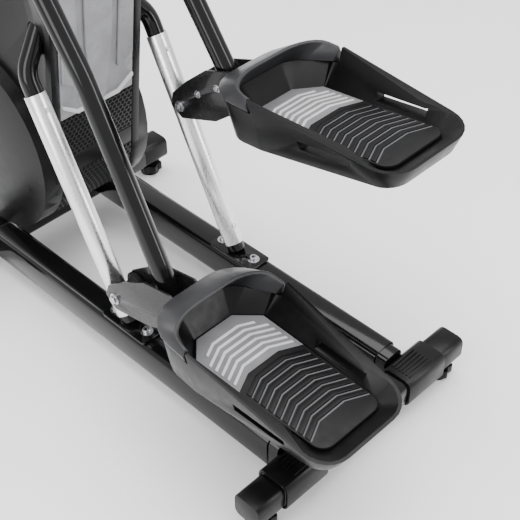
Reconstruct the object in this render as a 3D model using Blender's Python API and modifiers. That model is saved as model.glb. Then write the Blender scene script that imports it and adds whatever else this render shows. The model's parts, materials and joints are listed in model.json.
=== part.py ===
"""Elliptical trainer whose two pedal legs roll up and down inclined tracks and turn a crank.

Metres, +X to the user's right, +Y the way the user faces, +Z up. Every piece is its own object.
The model is laid out from the point midway between the two track feet and is centred on the
floor at the end. The left leg stands at the bottom of its stroke and the right leg at the top.
"""

import math

import bmesh
import bpy
from mathutils import Matrix, Vector

OBJECT_NAME = "elliptical_trainer"
GAP = 0.0003                     # air between two pieces that rest on each other
RUNNING_GAP = 0.0012             # air between a moving piece and its neighbour
ROUND_STEPS = 20                 # sides of an ordinary round piece
TUBE_STEPS = 4                   # bevel resolution of a bent tube, which gives it 12 sides

# base frame
TRACK_X = 0.144                  # centre plane of each rail, track, leg and pedal
RAIL_WIDTH = 0.058
RAIL_BOTTOM = 0.033
RAIL_TOP = 0.105
RAIL_WALL = 0.0025
COLLAR_LENGTH = 0.022
COLLAR_INSET = 0.004
REAR_BAR_Y = -0.411
REAR_BAR_DEPTH = 0.060
REAR_BAR_HALF = 0.216
REAR_SLEEVE_LENGTH = 0.104
REAR_SLEEVE_WALL = 0.004
REAR_CAP_LENGTH = 0.064
FRONT_BAR_Y = 0.480
FRONT_BAR_DEPTH = 0.060
FRONT_BAR_HALF = 0.254
FRONT_CAP_LENGTH = 0.068
BAR_BOTTOM = 0.036
BAR_TOP = 0.090
FOOT_RADIUS = 0.029
FOOT_LOBES = 7
FOOT_INSET = 0.034               # from a bar's end cap to the middle of its foot
FOOT_PAD_HEIGHT = 0.008
FOOT_KNOB_TOP = 0.026
FOOT_STUD_RADIUS = 0.005
FOOT_STUD_TOP = 0.056
WHEEL_RADIUS = 0.029
WHEEL_WIDTH = 0.022
WHEEL_X = 0.176
WHEEL_REACH = 0.036              # wheel axle ahead of the front bar's face
WHEEL_AXLE_Z = 0.037
WHEEL_PIN_RADIUS = 0.005
LUG_THICKNESS = 0.006

# inclined tracks
TRACK_ANGLE = math.radians(63.1)
TRACK_FOOT_Y = 0.0365            # where the track's axis meets the top of the rail
TRACK_TUBE_RADIUS = 0.0175
TRACK_SLEEVE_WALL = 0.003
TRACK_SLEEVE_WRAP = math.radians(236)
TRACK_SLEEVE_START = 0.022       # along the track, from the rail's top
TRACK_SLEEVE_END = 0.472
TRACK_BEND_START = 0.512
TRACK_TOP_Y = 0.300
TRACK_TOP_Z = 0.682
TRACK_BEND_RADIUS = 0.060
FOOT_PLATE_THICKNESS = 0.005
FOOT_PLATE_REAR = -0.030
FOOT_PLATE_FRONT = 0.092
PLATE_BOLT_Y = 0.000
BOLT_HEAD_RADIUS = 0.008
BOLT_HEAD_HEIGHT = 0.006

# legs and their rollers, laid out from the roller's axle with the leg at its lowest place
STROKE = 0.262
LEG_TILT = math.radians(9.2)     # how much further forward a leg leans at the top of its stroke
ROLLER_LOW = 0.073               # along the track, from the rail's top, at the lowest place
ROLLER_WAIST_RADIUS = 0.0150
ROLLER_RIM_RADIUS = 0.0270
ROLLER_HALF_WIDTH = 0.0260
AXLE_RADIUS = 0.005
AXLE_HALF_LENGTH = 0.0385
LEG_TUBE_RADIUS = 0.019
LEG_FOOT = (-0.131, 0.066)
LEG_KNEE = (0.061, 0.443)
LEG_HEAD = (0.183, 0.614)
LEG_KNEE_RADIUS = 0.350
BIG_END_RADIUS = 0.031
BRACKET_WALL = 0.004
BRACKET_CORNERS = ((0.016, 0.024), (-0.030, 0.060), (-0.090, 0.098), (-0.158, 0.112), (-0.100, -0.004),
                   (0.000, -0.026), (0.026, -0.004))
BRACKET_ROUNDING = 0.012

# pedals, laid out in the same leg frame
PAD_LEVEL = 0.069
PAD_THICKNESS = 0.007
PAD_REAR = -0.556
PAD_SHOULDER = -0.277
PAD_FRONT = -0.236
PAD_HALF_REAR = 0.072
PAD_HALF_SHOULDER = 0.081
PAD_HALF_FRONT = 0.042
PAD_PLAY = 0.002
PEDAL_REAR = -0.593
PEDAL_SEAM = -0.297
PEDAL_FRONT = -0.174
PEDAL_HALF_REAR = 0.106
PEDAL_HALF_SEAM = 0.121
PEDAL_HALF_FRONT = 0.112
PEDAL_REAR_CORNER = 0.055
PEDAL_FRONT_CORNER = 0.080
PEDAL_WALL = 0.006
PEDAL_TUCK = 0.018               # how far the walls lean in from the rim to the underside
PEDAL_FLOOR = 0.003
RIM_AT_SEAM = 0.0655             # above the pad's level
RIM_AT_REAR = 0.004
BELLY_AT_SEAM = -0.036
BELLY_AT_REAR = -0.028
GUARD_BASE = 0.040
GUARD_OUTER_TOP = 0.054
GUARD_CREST_AT_SEAM = 0.067
GUARD_CREST_AT_FRONT = 0.080
GUARD_REACH = 0.50               # depth of the crest's curve as a share of the rim's
GUARD_WALL = 0.005
SIDE_SLOT_FRONT = -0.395
SIDE_SLOT_REAR = -0.505
SIDE_SLOT_HEIGHT = 0.016

# drive in the housing
CRANK_ARM_THICKNESS = 0.011
CRANK_HUB_RADIUS = 0.034
CRANK_PIN_RADIUS = 0.012
CRANK_AXLE_RADIUS = 0.010
PULLEY_RADIUS = 0.098
PULLEY_WIDTH = 0.016
FLYWHEEL_Y = 0.482
FLYWHEEL_Z = 0.308
FLYWHEEL_RADIUS = 0.160
FLYWHEEL_WIDTH = 0.030
FLYWHEEL_PULLEY_RADIUS = 0.033
FLYWHEEL_AXLE_RADIUS = 0.008
BELT_THICKNESS = 0.003
BELT_PLAY = 0.0009               # keeps the flat facets of the belt clear of the pulleys
FRAME_PLATE_X = 0.056            # inner face of each frame plate
FRAME_PLATE_THICKNESS = 0.005
BRAKE_CLEARANCE = 0.003
BRAKE_SHOE_THICKNESS = 0.012
BRAKE_REAR_ANGLE = math.radians(248)
BRAKE_FRONT_ANGLE = math.radians(292)

# housing
FAN_CASE_RADIUS = 0.200
FAN_CASE_HALF = 0.132            # half width of the case round the flywheel
CRANK_CASE_RADIUS = 0.124
CASE_WALL = 0.004
SHELL_INNER_X = 0.088
SHELL_OUTER_X = 0.1055
SEAM = 0.001                     # air between neighbouring panels of the case
BAND_BOTTOM_Z = 0.286
BAND_TOP_Z = 0.330
PANEL_BOTTOM_Z = 0.430
LOWER_VENT_ANGLE = math.radians(240)
FRONT_COVER_ANGLE = math.radians(281)

# mast, console and handles
MAST_WIDTH = 0.050
MAST_FOOT = (0.380, 1.080)
MAST_KNEE = (0.380, 1.150)
MAST_HEAD = (0.290, 1.520)
FRAME_CROWN_RISE = 0.032         # of the frame plates above the handles' shaft
HANDLE_PIVOT = (0.380, 1.120)
HANDLE_SHAFT_RADIUS = 0.011
HANDLE_HUB_RADIUS = 0.026
HANDLE_X = 0.212
HANDLE_HUB_HALF = 0.018
HANDLE_TUBE_RADIUS = 0.016
HANDLE_SWING = math.radians(10.0)
STATIC_BAR_RADIUS = 0.014
STATIC_BAR_Z = 1.215
STATIC_BAR_HALF = 0.150
CLAMP_PLAY = 0.0015
CONSOLE_CENTRE = (0.270, 1.490)
CONSOLE_WIDTH = 0.300
CONSOLE_HEIGHT = 0.230
CONSOLE_DEPTH = 0.050
CONSOLE_TILT = math.radians(-32.0)
BUTTON_TRAVEL = 0.0015

# outline frames: (a, b, c) of a flat outline swept along c
SIDE = Matrix(((0, 0, 1, 0), (1, 0, 0, 0), (0, 1, 0, 0), (0, 0, 0, 1)))
TOP = Matrix.Identity(4)
ALONG = Matrix(((1, 0, 0, 0), (0, 0, -1, 0), (0, 1, 0, 0), (0, 0, 0, 1)))

BLACK_STEEL = ((0.012, 0.012, 0.013), 0.28, 0.0)
SILVER = ((0.80, 0.80, 0.81), 0.22, 1.0)
ZINC = ((0.45, 0.45, 0.46), 0.35, 1.0)
BLACK_PLASTIC = ((0.018, 0.018, 0.019), 0.48, 0.0)
GREY_PLASTIC = ((0.19, 0.19, 0.195), 0.42, 0.0)
SOFT_PAD = ((0.030, 0.030, 0.031), 0.75, 0.0)
RUBBER = ((0.010, 0.010, 0.010), 0.85, 0.0)
GLASS_BLACK = ((0.006, 0.007, 0.008), 0.08, 0.0)
CAST_IRON = ((0.08, 0.08, 0.085), 0.55, 0.8)


# ---- helpers

def clear_scene():
    for item in list(bpy.data.objects):
        bpy.data.objects.remove(item)


def parts_collection(title):
    collection = bpy.data.collections.new(title)
    bpy.context.scene.collection.children.link(collection)
    return collection


def look_for(name, finish):
    colour, roughness, metallic = finish
    material = bpy.data.materials.new(name)
    material.use_nodes = True
    shader = material.node_tree.nodes["Principled BSDF"]
    shader.inputs["Base Color"].default_value = (*colour, 1.0)
    shader.inputs["Roughness"].default_value = roughness
    shader.inputs["Metallic"].default_value = metallic
    return material


def place(name, data, finish, frame=TOP, parent=None):
    item = bpy.data.objects.new(name, data)
    PARTS.objects.link(item)
    if finish is not None:
        data.materials.append(look_for(name, finish))
    item.matrix_world = frame
    if parent is not None:
        item.parent = parent
    return item


def axis_point(name, where, turn=0.0):
    point = bpy.data.objects.new(name, None)
    point.location = where
    point.rotation_euler = (turn, 0.0, 0.0)
    PARTS.objects.link(point)
    return point


def arc(centre, radius, start, end, steps):
    return [(centre[0] + radius * math.cos(start + (end - start) * i / steps),
             centre[1] + radius * math.sin(start + (end - start) * i / steps)) for i in range(steps + 1)]


def circle(centre, radius, steps=ROUND_STEPS):
    return arc(centre, radius, 0.0, math.tau, steps)[:-1]


def rounded(corners, radius, steps=3):
    """Closed outline through the corners, each one rounded by an arc of the given radius."""
    radii = radius if isinstance(radius, (list, tuple)) else [radius] * len(corners)
    outline = []
    for i, corner in enumerate(corners):
        here = Vector(corner)
        back = (Vector(corners[i - 1]) - here).normalized()
        ahead = (Vector(corners[(i + 1) % len(corners)]) - here).normalized()
        half = back.angle(ahead) / 2
        middle = here + (back + ahead).normalized() * radii[i] / math.sin(half)
        first = here + back * radii[i] / math.tan(half) - middle
        sweep = first.angle_signed(here + ahead * radii[i] / math.tan(half) - middle)
        for k in range(steps + 1):
            angle = -sweep * k / steps
            point = middle + Matrix.Rotation(angle, 2) @ first
            outline.append((point.x, point.y))
    return outline


def bent(points, radius, steps=6):
    """Open path through 3D points whose inner corners are rounded."""
    path = [Vector(points[0])]
    for before, corner, after in zip(points, points[1:], points[2:]):
        here = Vector(corner)
        back = (Vector(before) - here).normalized()
        ahead = (Vector(after) - here).normalized()
        half = back.angle(ahead) / 2
        reach = radius / math.tan(half)
        middle = here + (back + ahead).normalized() * radius / math.sin(half)
        start = (here + back * reach - middle).normalized()
        end = (here + ahead * reach - middle).normalized()
        for k in range(steps + 1):
            path.append(middle + start.slerp(end, k / steps) * radius)
    path.append(Vector(points[-1]))
    return path


def box_outline(width, height, radius, centre=(0.0, 0.0), steps=3):
    x, y = centre
    half_w, half_h = width / 2, height / 2
    corners = ((x - half_w, y - half_h), (x + half_w, y - half_h), (x + half_w, y + half_h),
               (x - half_w, y + half_h))
    return rounded(corners, radius, steps)


def plate(name, outlines, low, high, finish, frame=SIDE, parent=None):
    """Flat outline with its holes, swept from low to high along the frame's third axis."""
    curve = bpy.data.curves.new(name, "CURVE")
    curve.dimensions = "2D"
    curve.fill_mode = "BOTH"
    curve.extrude = (high - low) / 2
    for outline in outlines:
        spline = curve.splines.new("POLY")
        spline.points.add(len(outline) - 1)
        for point, (a, b) in zip(spline.points, outline):
            point.co = (a, b, 0.0, 1.0)
        spline.use_cyclic_u = True
    return place(name, curve, finish, frame @ Matrix.Translation((0, 0, (low + high) / 2)), parent)


def rings(name, levels, finish, parent=None, closed=False):
    """Solid through a stack of matching rings of points; a closed stack joins its last to its first."""
    mesh = bpy.data.meshes.new(name)
    shape = bmesh.new()
    stack = [[shape.verts.new(point) for point in level] for level in levels]
    count = len(stack[0])
    for low, high in zip(stack, stack[1:] + stack[:1] * closed):
        for i in range(count - closed):
            j = (i + 1) % count
            shape.faces.new((low[i], low[j], high[j], high[i]))
    if closed:
        shape.faces.new([level[0] for level in stack])
        shape.faces.new([level[-1] for level in reversed(stack)])
    else:
        shape.faces.new(stack[0][::-1])
        shape.faces.new(stack[-1])
    bmesh.ops.triangulate(shape, faces=shape.faces)
    bmesh.ops.recalc_face_normals(shape, faces=shape.faces)
    shape.to_mesh(mesh)
    shape.free()
    return place(name, mesh, finish, TOP, parent)


def at_height(outline, plane):
    """Points of a plan outline on a plane given as (height, slope along Y)."""
    return [(x, y, plane[0] + plane[1] * y) for x, y in outline]


def tube(name, path, radius, finish, parent=None, steps=TUBE_STEPS):
    curve = bpy.data.curves.new(name, "CURVE")
    curve.dimensions = "3D"
    curve.bevel_depth = radius
    curve.bevel_resolution = steps
    curve.use_fill_caps = True
    spline = curve.splines.new("POLY")
    spline.points.add(len(path) - 1)
    for point, where in zip(spline.points, path):
        point.co = (*where, 1.0)
    return place(name, curve, finish, TOP, parent)


def turned(name, profile, finish, frame=TOP, parent=None, steps=ROUND_STEPS, closed=False):
    """Solid of revolution about the frame's third axis; the (radius, height) profile runs downwards."""
    mesh = bpy.data.meshes.new(name)
    edges = [(i, i + 1) for i in range(len(profile) - 1)]
    if closed:
        edges.append((len(profile) - 1, 0))
    mesh.from_pydata([(radius, 0.0, height) for radius, height in profile], edges, [])
    item = place(name, mesh, finish, frame, parent)
    screw = item.modifiers.new("turn", "SCREW")
    screw.steps = steps
    screw.render_steps = steps
    screw.use_merge_vertices = True
    screw.merge_threshold = 0.0001
    return item


def block(name, size, centre, finish, frame=TOP, parent=None, edge=0.0):
    mesh = bpy.data.meshes.new(name)
    shape = bmesh.new()
    bmesh.ops.create_cube(shape, size=1.0)
    bmesh.ops.scale(shape, vec=size, verts=shape.verts)
    bmesh.ops.translate(shape, vec=centre, verts=shape.verts)
    shape.to_mesh(mesh)
    shape.free()
    item = place(name, mesh, finish, frame, parent)
    if edge:
        bevel = item.modifiers.new("rounded edges", "BEVEL")
        bevel.width = edge
        bevel.segments = 2
    return item


def as_mesh(item):
    """Bake a curve or a modified object into a plain mesh object, and return the new object."""
    bpy.context.view_layer.update()
    baked = bpy.data.meshes.new_from_object(item.evaluated_get(bpy.context.evaluated_depsgraph_get()))
    shape = bmesh.new()
    shape.from_mesh(baked)
    bmesh.ops.remove_doubles(shape, verts=shape.verts, dist=0.00001)
    shape.to_mesh(baked)
    shape.free()
    name, frame, parent = item.name, item.matrix_world.copy(), item.parent
    basis = item.matrix_basis.copy()
    bpy.data.objects.remove(item)
    baked.name = name
    plain = bpy.data.objects.new(name, baked)
    PARTS.objects.link(plain)
    if parent is None:
        plain.matrix_world = frame
    else:
        plain.parent = parent
        plain.matrix_basis = basis
    return plain


def combine(item, tools, operation):
    """Cut the tools from the item, or weld them to it, and return the finished mesh object."""
    body = as_mesh(item)
    for tool in tools:
        solid = as_mesh(tool)
        PARTS.objects.unlink(solid)
        CUTTERS.objects.link(solid)
        solid.hide_render = True
        solid.display_type = "WIRE"
        boolean = body.modifiers.new("shape", "BOOLEAN")
        boolean.operation = operation
        boolean.solver = "EXACT"
        boolean.object = solid
    return body


def cut(item, *tools):
    return combine(item, tools, "DIFFERENCE")


def weld(item, *tools):
    return combine(item, tools, "UNION")


def round_bar(name, radius, low, high, centre, finish, parent=None, steps=ROUND_STEPS):
    """Round bar along X, with its middle at (y, z)."""
    profile = ((0.0, high), (radius, high), (radius, low), (0.0, low))
    frame = Matrix.Translation((0.0, centre[0], centre[1])) @ SIDE
    return turned(name, profile, finish, frame, parent, steps)


def bore(radius, low, high, centre, parent=None):
    return round_bar("bore", radius, low, high, centre, ZINC, parent, ROUND_STEPS)


# ---- derived places

TRACK_RUN = Vector((0.0, math.cos(TRACK_ANGLE), math.sin(TRACK_ANGLE)))
TRACK_OUT = Vector((0.0, -math.sin(TRACK_ANGLE), math.cos(TRACK_ANGLE)))
TRACK_FOOT = Vector((0.0, TRACK_FOOT_Y, RAIL_TOP))
SLEEVE_RADIUS = TRACK_TUBE_RADIUS + TRACK_SLEEVE_WALL
AXLE_OFFSET = SLEEVE_RADIUS + ROLLER_WAIST_RADIUS + GAP
AXLE_LOW = TRACK_FOOT + TRACK_RUN * ROLLER_LOW + TRACK_OUT * AXLE_OFFSET
AXLE_HIGH = AXLE_LOW + TRACK_RUN * STROKE


def leg_point(place_on_leg, axle, tilt):
    return axle + Matrix.Rotation(tilt, 3, "X") @ Vector((0.0, *place_on_leg))


PIN_LOW = leg_point(LEG_HEAD, AXLE_LOW, 0.0)
PIN_HIGH = leg_point(LEG_HEAD, AXLE_HIGH, -LEG_TILT)
CRANK_CENTRE = (PIN_LOW + PIN_HIGH) / 2
FLYWHEEL_CENTRE = Vector((0.0, FLYWHEEL_Y, FLYWHEEL_Z))
LEG_INNER_X = TRACK_X - LEG_TUBE_RADIUS
CRANK_ARM_X = SHELL_OUTER_X + RUNNING_GAP


def side_place(side, inner, outer):
    """Low and high X of a piece on one side of the machine, from its distances to the middle."""
    return (inner, outer) if side > 0 else (-outer, -inner)


def around_wheels(lower_radius, upper_radius, steps=16):
    """Outline of a band wrapped round the flywheel and the crank: rear, top, front, then bottom."""
    lower = Vector((FLYWHEEL_CENTRE.y, FLYWHEEL_CENTRE.z))
    upper = Vector((CRANK_CENTRE.y, CRANK_CENTRE.z))
    lean = upper - lower
    direction = math.atan2(lean.y, lean.x)
    flare = math.acos((lower_radius - upper_radius) / lean.length)
    top = arc(upper, upper_radius, direction + flare, direction - flare, steps)
    bottom = arc(lower, lower_radius, direction - flare, direction + flare - math.tau, steps)
    return top, bottom


# ---- base

def build_rails():
    """Box-section rails, each with a narrower solid tail that meets the rear bar."""
    width, height = RAIL_WIDTH, RAIL_TOP - RAIL_BOTTOM
    middle = (RAIL_TOP + RAIL_BOTTOM) / 2
    tail = REAR_BAR_Y + REAR_BAR_DEPTH / 2 + REAR_SLEEVE_WALL + 2 * GAP
    rear = tail + COLLAR_LENGTH
    front = FRONT_BAR_Y - FRONT_BAR_DEPTH / 2 - GAP
    for side, word in ((-1, "left"), (1, "right")):
        centre = (side * TRACK_X, middle)
        outside = box_outline(width, height, 0.014, centre)
        inside = box_outline(width - 2 * RAIL_WALL, height - 2 * RAIL_WALL, 0.0115, centre)
        rail = plate("base_rail_" + word, (outside, inside), -front, -rear, BLACK_STEEL, ALONG)
        end_wall = plate("end wall", (outside,), -rear - RAIL_WALL, -rear, BLACK_STEEL, ALONG)
        ring = box_outline(width - 2 * COLLAR_INSET, height - 2 * COLLAR_INSET, 0.012, centre)
        weld(rail, end_wall, plate("tail", (ring,), -rear - RAIL_WALL / 2, -tail, BLACK_STEEL, ALONG))


def build_bar(label, bar_y, depth, half, cap_length, parts=()):
    """Cross bar of the base with its two end caps, each cap bored for its levelling foot."""
    middle = (BAR_TOP + BAR_BOTTOM) / 2
    height = BAR_TOP - BAR_BOTTOM
    section = box_outline(depth, height, 0.012, (bar_y, middle))
    bar = plate(label + "_stabiliser", (section,), -half, half, BLACK_STEEL)
    if parts:
        bar = weld(bar, *parts)
    for side, word in ((-1, "left"), (1, "right")):
        low, high = side_place(side, half + GAP, half + cap_length)
        cap_section = box_outline(depth - 0.002, height - 0.002, 0.013, (bar_y, middle))
        cap = plate("%s_end_cap_%s" % (label, word), (cap_section,), low, high, BLACK_PLASTIC)
        stud_x = side * (half + cap_length - FOOT_INSET)
        hole_radius, hole_top = FOOT_STUD_RADIUS + 0.001, FOOT_STUD_TOP + 0.004
        hole = turned("hole", ((0.0, hole_top), (hole_radius, hole_top), (hole_radius, 0.0), (0.0, 0.0)), ZINC,
                      Matrix.Translation((stud_x, bar_y, 0.0)), steps=12)
        cut(cap, hole)


def build_feet():
    for label, bar_y, reach in (("rear", REAR_BAR_Y, REAR_BAR_HALF + REAR_CAP_LENGTH - FOOT_INSET),
                                ("front", FRONT_BAR_Y, FRONT_BAR_HALF + FRONT_CAP_LENGTH - FOOT_INSET)):
        for side, word in ((-1, "left"), (1, "right")):
            name = "levelling_foot_%s_%s" % (label, word)
            axis = axis_point(name + "_axis", (side * reach, bar_y, 0.0))
            lobes = [(radius * math.cos(angle), radius * math.sin(angle)) for angle, radius in (
                (math.tau * i / (6 * FOOT_LOBES),
                 FOOT_RADIUS * (0.88 + 0.12 * math.cos(math.tau * i / 6))) for i in range(6 * FOOT_LOBES))]
            knob = plate(name, (lobes,), FOOT_PAD_HEIGHT, FOOT_KNOB_TOP, BLACK_PLASTIC, TOP, axis)
            pad = turned("pad", ((0.0, FOOT_PAD_HEIGHT + 0.002), (0.020, FOOT_PAD_HEIGHT + 0.002),
                                 (0.022, 0.0), (0.0, 0.0)), RUBBER, TOP, axis)
            stud = turned("stud", ((0.0, FOOT_STUD_TOP), (FOOT_STUD_RADIUS, FOOT_STUD_TOP),
                                   (FOOT_STUD_RADIUS, 0.010), (0.0, 0.010)), ZINC, TOP, axis, 12)
            weld(knob, pad, stud)


def build_rear_sleeves():
    middle = (BAR_TOP + BAR_BOTTOM) / 2
    depth = REAR_BAR_DEPTH + 2 * GAP
    height = BAR_TOP - BAR_BOTTOM + 2 * GAP
    inside = box_outline(depth, height, 0.012, (REAR_BAR_Y, middle))
    outside = box_outline(depth + 2 * REAR_SLEEVE_WALL, height + 2 * REAR_SLEEVE_WALL, 0.015,
                          (REAR_BAR_Y, middle))
    for side, word in ((-1, "left"), (1, "right")):
        low, high = side_place(side, REAR_BAR_HALF - REAR_SLEEVE_LENGTH, REAR_BAR_HALF)
        plate("rear_stabiliser_sleeve_" + word, (outside, inside), low, high, BLACK_PLASTIC)


def wheel_lugs():
    """Lugs and axle pins on the front bar that carry the transport wheels."""
    front = FRONT_BAR_Y + FRONT_BAR_DEPTH / 2
    axle = (front + WHEEL_REACH, WHEEL_AXLE_Z)
    outline = rounded(((front - 0.010, 0.044), (axle[0] - 0.004, WHEEL_AXLE_Z - 0.014),
                       (axle[0] + 0.014, WHEEL_AXLE_Z), (axle[0], WHEEL_AXLE_Z + 0.016),
                       (front - 0.010, 0.078)), 0.006)
    tools = []
    for side in (-1, 1):
        low, high = side_place(side, WHEEL_X - LUG_THICKNESS, WHEEL_X)
        tools.append(plate("lug", (outline,), low, high, BLACK_STEEL))
        low, high = side_place(side, WHEEL_X - LUG_THICKNESS / 2, WHEEL_X + WHEEL_WIDTH + 0.004)
        tools.append(round_bar("pin", WHEEL_PIN_RADIUS, low, high, axle, ZINC, steps=12))
    return tools


def build_transport_wheels():
    front = FRONT_BAR_Y + FRONT_BAR_DEPTH / 2
    hole = WHEEL_PIN_RADIUS + 0.0005
    half = WHEEL_WIDTH / 2
    profile = ((hole, half), (WHEEL_RADIUS - 0.003, half), (WHEEL_RADIUS, half - 0.003),
               (WHEEL_RADIUS, 0.003 - half), (WHEEL_RADIUS - 0.003, -half), (hole, -half))
    for side, word in ((-1, "left"), (1, "right")):
        x = side * (WHEEL_X + half + 0.001)
        axis = axis_point("transport_wheel_%s_axis" % word, (x, front + WHEEL_REACH, WHEEL_AXLE_Z))
        turned("transport_wheel_" + word, profile, RUBBER, SIDE, axis, 24, closed=True)


# ---- tracks

def build_tracks():
    for side, word in ((-1, "left"), (1, "right")):
        x = side * TRACK_X
        top = RAIL_TOP + GAP + FOOT_PLATE_THICKNESS
        floor = block("floor", (0.2, 0.3, 0.2), (x, TRACK_FOOT_Y, top + GAP - 0.1), ZINC)
        face = FRAME_PLATE_X + FRAME_PLATE_THICKNESS + GAP
        wall = block("wall", (0.2, 0.3, 0.3), (side * (face - 0.1), TRACK_TOP_Y, TRACK_TOP_Z), ZINC)
        cut(tube("guide_tube_" + word, track_path(side), TRACK_TUBE_RADIUS, BLACK_STEEL), floor, wall)
        build_track_sleeve("track_sleeve_" + word, x)
        outline = [(a + x, b) for a, b in rounded(
            ((-0.027, FOOT_PLATE_REAR), (0.027, FOOT_PLATE_REAR), (0.027, FOOT_PLATE_FRONT),
             (-0.027, FOOT_PLATE_FRONT)), 0.006, 2)]
        foot_plate = plate("foot_plate_" + word, (outline,), RAIL_TOP + GAP, top, BLACK_STEEL, TOP)
        bolt = turned("bolt", ((0.0, BOLT_HEAD_HEIGHT), (BOLT_HEAD_RADIUS, BOLT_HEAD_HEIGHT),
                               (BOLT_HEAD_RADIUS, -0.002), (0.0, -0.002)), ZINC,
                      Matrix.Translation((x, PLATE_BOLT_Y, top)), steps=12)
        weld(foot_plate, bolt)


def track_path(side):
    """Axis of a track tube: up the incline, then inwards to the frame plate."""
    shift = Vector((side * TRACK_X, 0.0, 0.0))
    foot = TRACK_FOOT + shift - TRACK_RUN * 0.03
    bend = TRACK_FOOT + shift + TRACK_RUN * TRACK_BEND_START
    head = Vector((side * (FRAME_PLATE_X - 0.010), TRACK_TOP_Y, TRACK_TOP_Z))
    return bent((foot, bend, head), TRACK_BEND_RADIUS)


def build_track_sleeve(name, x):
    """C-shaped running sleeve that wraps the user's side of the track tube."""
    across = Matrix.Identity(4)
    across.col[1][:3] = TRACK_OUT * -1.0
    across.col[2][:3] = TRACK_RUN * -1.0
    across.translation = TRACK_FOOT + Vector((x, 0.0, 0.0))
    out_angle = -math.pi / 2
    start, end = out_angle - TRACK_SLEEVE_WRAP / 2, out_angle + TRACK_SLEEVE_WRAP / 2
    outline = arc((0, 0), SLEEVE_RADIUS, start, end, 16)
    outline += arc((0, 0), TRACK_TUBE_RADIUS + GAP, end, start, 16)
    plate(name, (outline,), -TRACK_SLEEVE_END, -TRACK_SLEEVE_START, SILVER, across)


# ---- legs and pedals

def build_leg(side, word):
    axle = (AXLE_LOW if side < 0 else AXLE_HIGH) + Vector((side * TRACK_X, 0.0, 0.0))
    tilt = 0.0 if side < 0 else -LEG_TILT
    carriage = axis_point(word + "_roller_axis", axle)
    leg = axis_point(word + "_leg_axis", axle, tilt)
    build_roller(word, carriage)
    build_leg_tube(word, side, leg)
    build_leg_bracket(word, leg)
    build_pedal(word, leg)


def build_roller(word, parent):
    half, waist, rim, hole = ROLLER_HALF_WIDTH, ROLLER_WAIST_RADIUS, ROLLER_RIM_RADIUS, AXLE_RADIUS + 0.0005
    groove = SLEEVE_RADIUS + GAP
    hollow = []
    for k in range(9):
        angle = math.radians(-62 + 124 * k / 8)
        hollow.append((AXLE_OFFSET - groove * math.cos(angle), -groove * math.sin(angle)))
    profile = [(hole, half), (rim - 0.002, half), (rim, half - 0.002), *hollow,
               (rim, 0.002 - half), (rim - 0.002, -half), (hole, -half)]
    turned("track_roller_" + word, profile, BLACK_PLASTIC, SIDE, parent, 24, closed=True)
    round_bar("roller_axle_" + word, AXLE_RADIUS, -AXLE_HALF_LENGTH, AXLE_HALF_LENGTH, (0.0, 0.0), ZINC,
              parent, 16)


def build_leg_tube(word, side, parent):
    path = bent([(0.0, *point) for point in (LEG_FOOT, LEG_KNEE, LEG_HEAD)], LEG_KNEE_RADIUS)
    low, high = -LEG_TUBE_RADIUS, LEG_TUBE_RADIUS
    barrel = round_bar("barrel", BIG_END_RADIUS, low, high, LEG_HEAD, BLACK_STEEL, parent, 24)
    body = tube("leg_tube_" + word, path, LEG_TUBE_RADIUS, BLACK_STEEL, parent)
    return weld(body, barrel)


def tray_front(height):
    """Y of the tray's sloping front face at a height in the leg frame."""
    rim, belly = sloped(RIM_AT_SEAM, RIM_AT_REAR), sloped(BELLY_AT_SEAM, BELLY_AT_REAR)
    top = rim[0] + rim[1] * PEDAL_FRONT
    bottom = belly[0] + belly[1] * (PEDAL_FRONT - PEDAL_TUCK)
    return PEDAL_FRONT - PEDAL_TUCK * (top - height) / (top - bottom)


def build_leg_bracket(word, parent):
    """Folded plate that joins the roller's axle, the foot of the leg tube and the pedal."""
    rear = [(tray_front(height) + 0.001, height) for height in (0.104, 0.060)]
    corners = [*BRACKET_CORNERS[:4], *rear, (-0.186, 0.046), *BRACKET_CORNERS[4:]]
    outline = rounded(corners, BRACKET_ROUNDING / 3, 3)
    half = ROLLER_HALF_WIDTH + RUNNING_GAP + BRACKET_WALL
    inner = half - BRACKET_WALL
    body = plate("leg_bracket_" + word, (outline,), -half, half, BLACK_STEEL, parent=parent)
    hollow = rounded(((0.060, -0.060), (0.060, 0.16), (-0.250, 0.16), (-0.250, 0.052), (-0.186, 0.052),
                      (-0.100, 0.006), (-0.046, 0.000), (-0.040, -0.060)), 0.003, 1)
    space = plate("space", (hollow,), -inner, inner, ZINC, parent=parent)
    hole = bore(AXLE_RADIUS + 0.0005, -half - 0.002, half + 0.002, (0.0, 0.0), parent)
    return cut(body, space, hole)


def pedal_outline(inset):
    """Plan outline of a pedal's rim, moved inwards by the inset."""
    rear, seam, front = PEDAL_HALF_REAR - inset, PEDAL_HALF_SEAM - inset, PEDAL_HALF_FRONT - inset
    low, high = PEDAL_REAR + inset, PEDAL_FRONT - inset
    corners = [(rear, low), (seam, PEDAL_SEAM), (front, high),
               (-front, high), (-seam, PEDAL_SEAM), (-rear, low)]
    radii = [PEDAL_REAR_CORNER - inset, 0.10, PEDAL_FRONT_CORNER - inset]
    return rounded(corners, radii + radii[::-1], 6)


def pad_outline(outset):
    """Plan outline of the pad, with its chamfered front, moved outwards by the outset."""
    rear, shoulder, front = PAD_HALF_REAR + outset, PAD_HALF_SHOULDER + outset, PAD_HALF_FRONT + outset / 2
    low, high = PAD_REAR - outset, PAD_FRONT + outset
    corners = [(rear, low), (shoulder, PAD_SHOULDER + outset / 2), (front, high),
               (-front, high), (-shoulder, PAD_SHOULDER + outset / 2), (-rear, low)]
    return rounded(corners, (0.024, 0.004, 0.004, 0.004, 0.004, 0.024), 6)


def sloped(at_seam, at_rear):
    """Height and slope of a plane given by its height at the seam and at the rear, over the pad."""
    slope = (at_seam - at_rear) / (PEDAL_SEAM - PEDAL_REAR)
    return PAD_LEVEL + at_seam - slope * PEDAL_SEAM, slope


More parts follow.
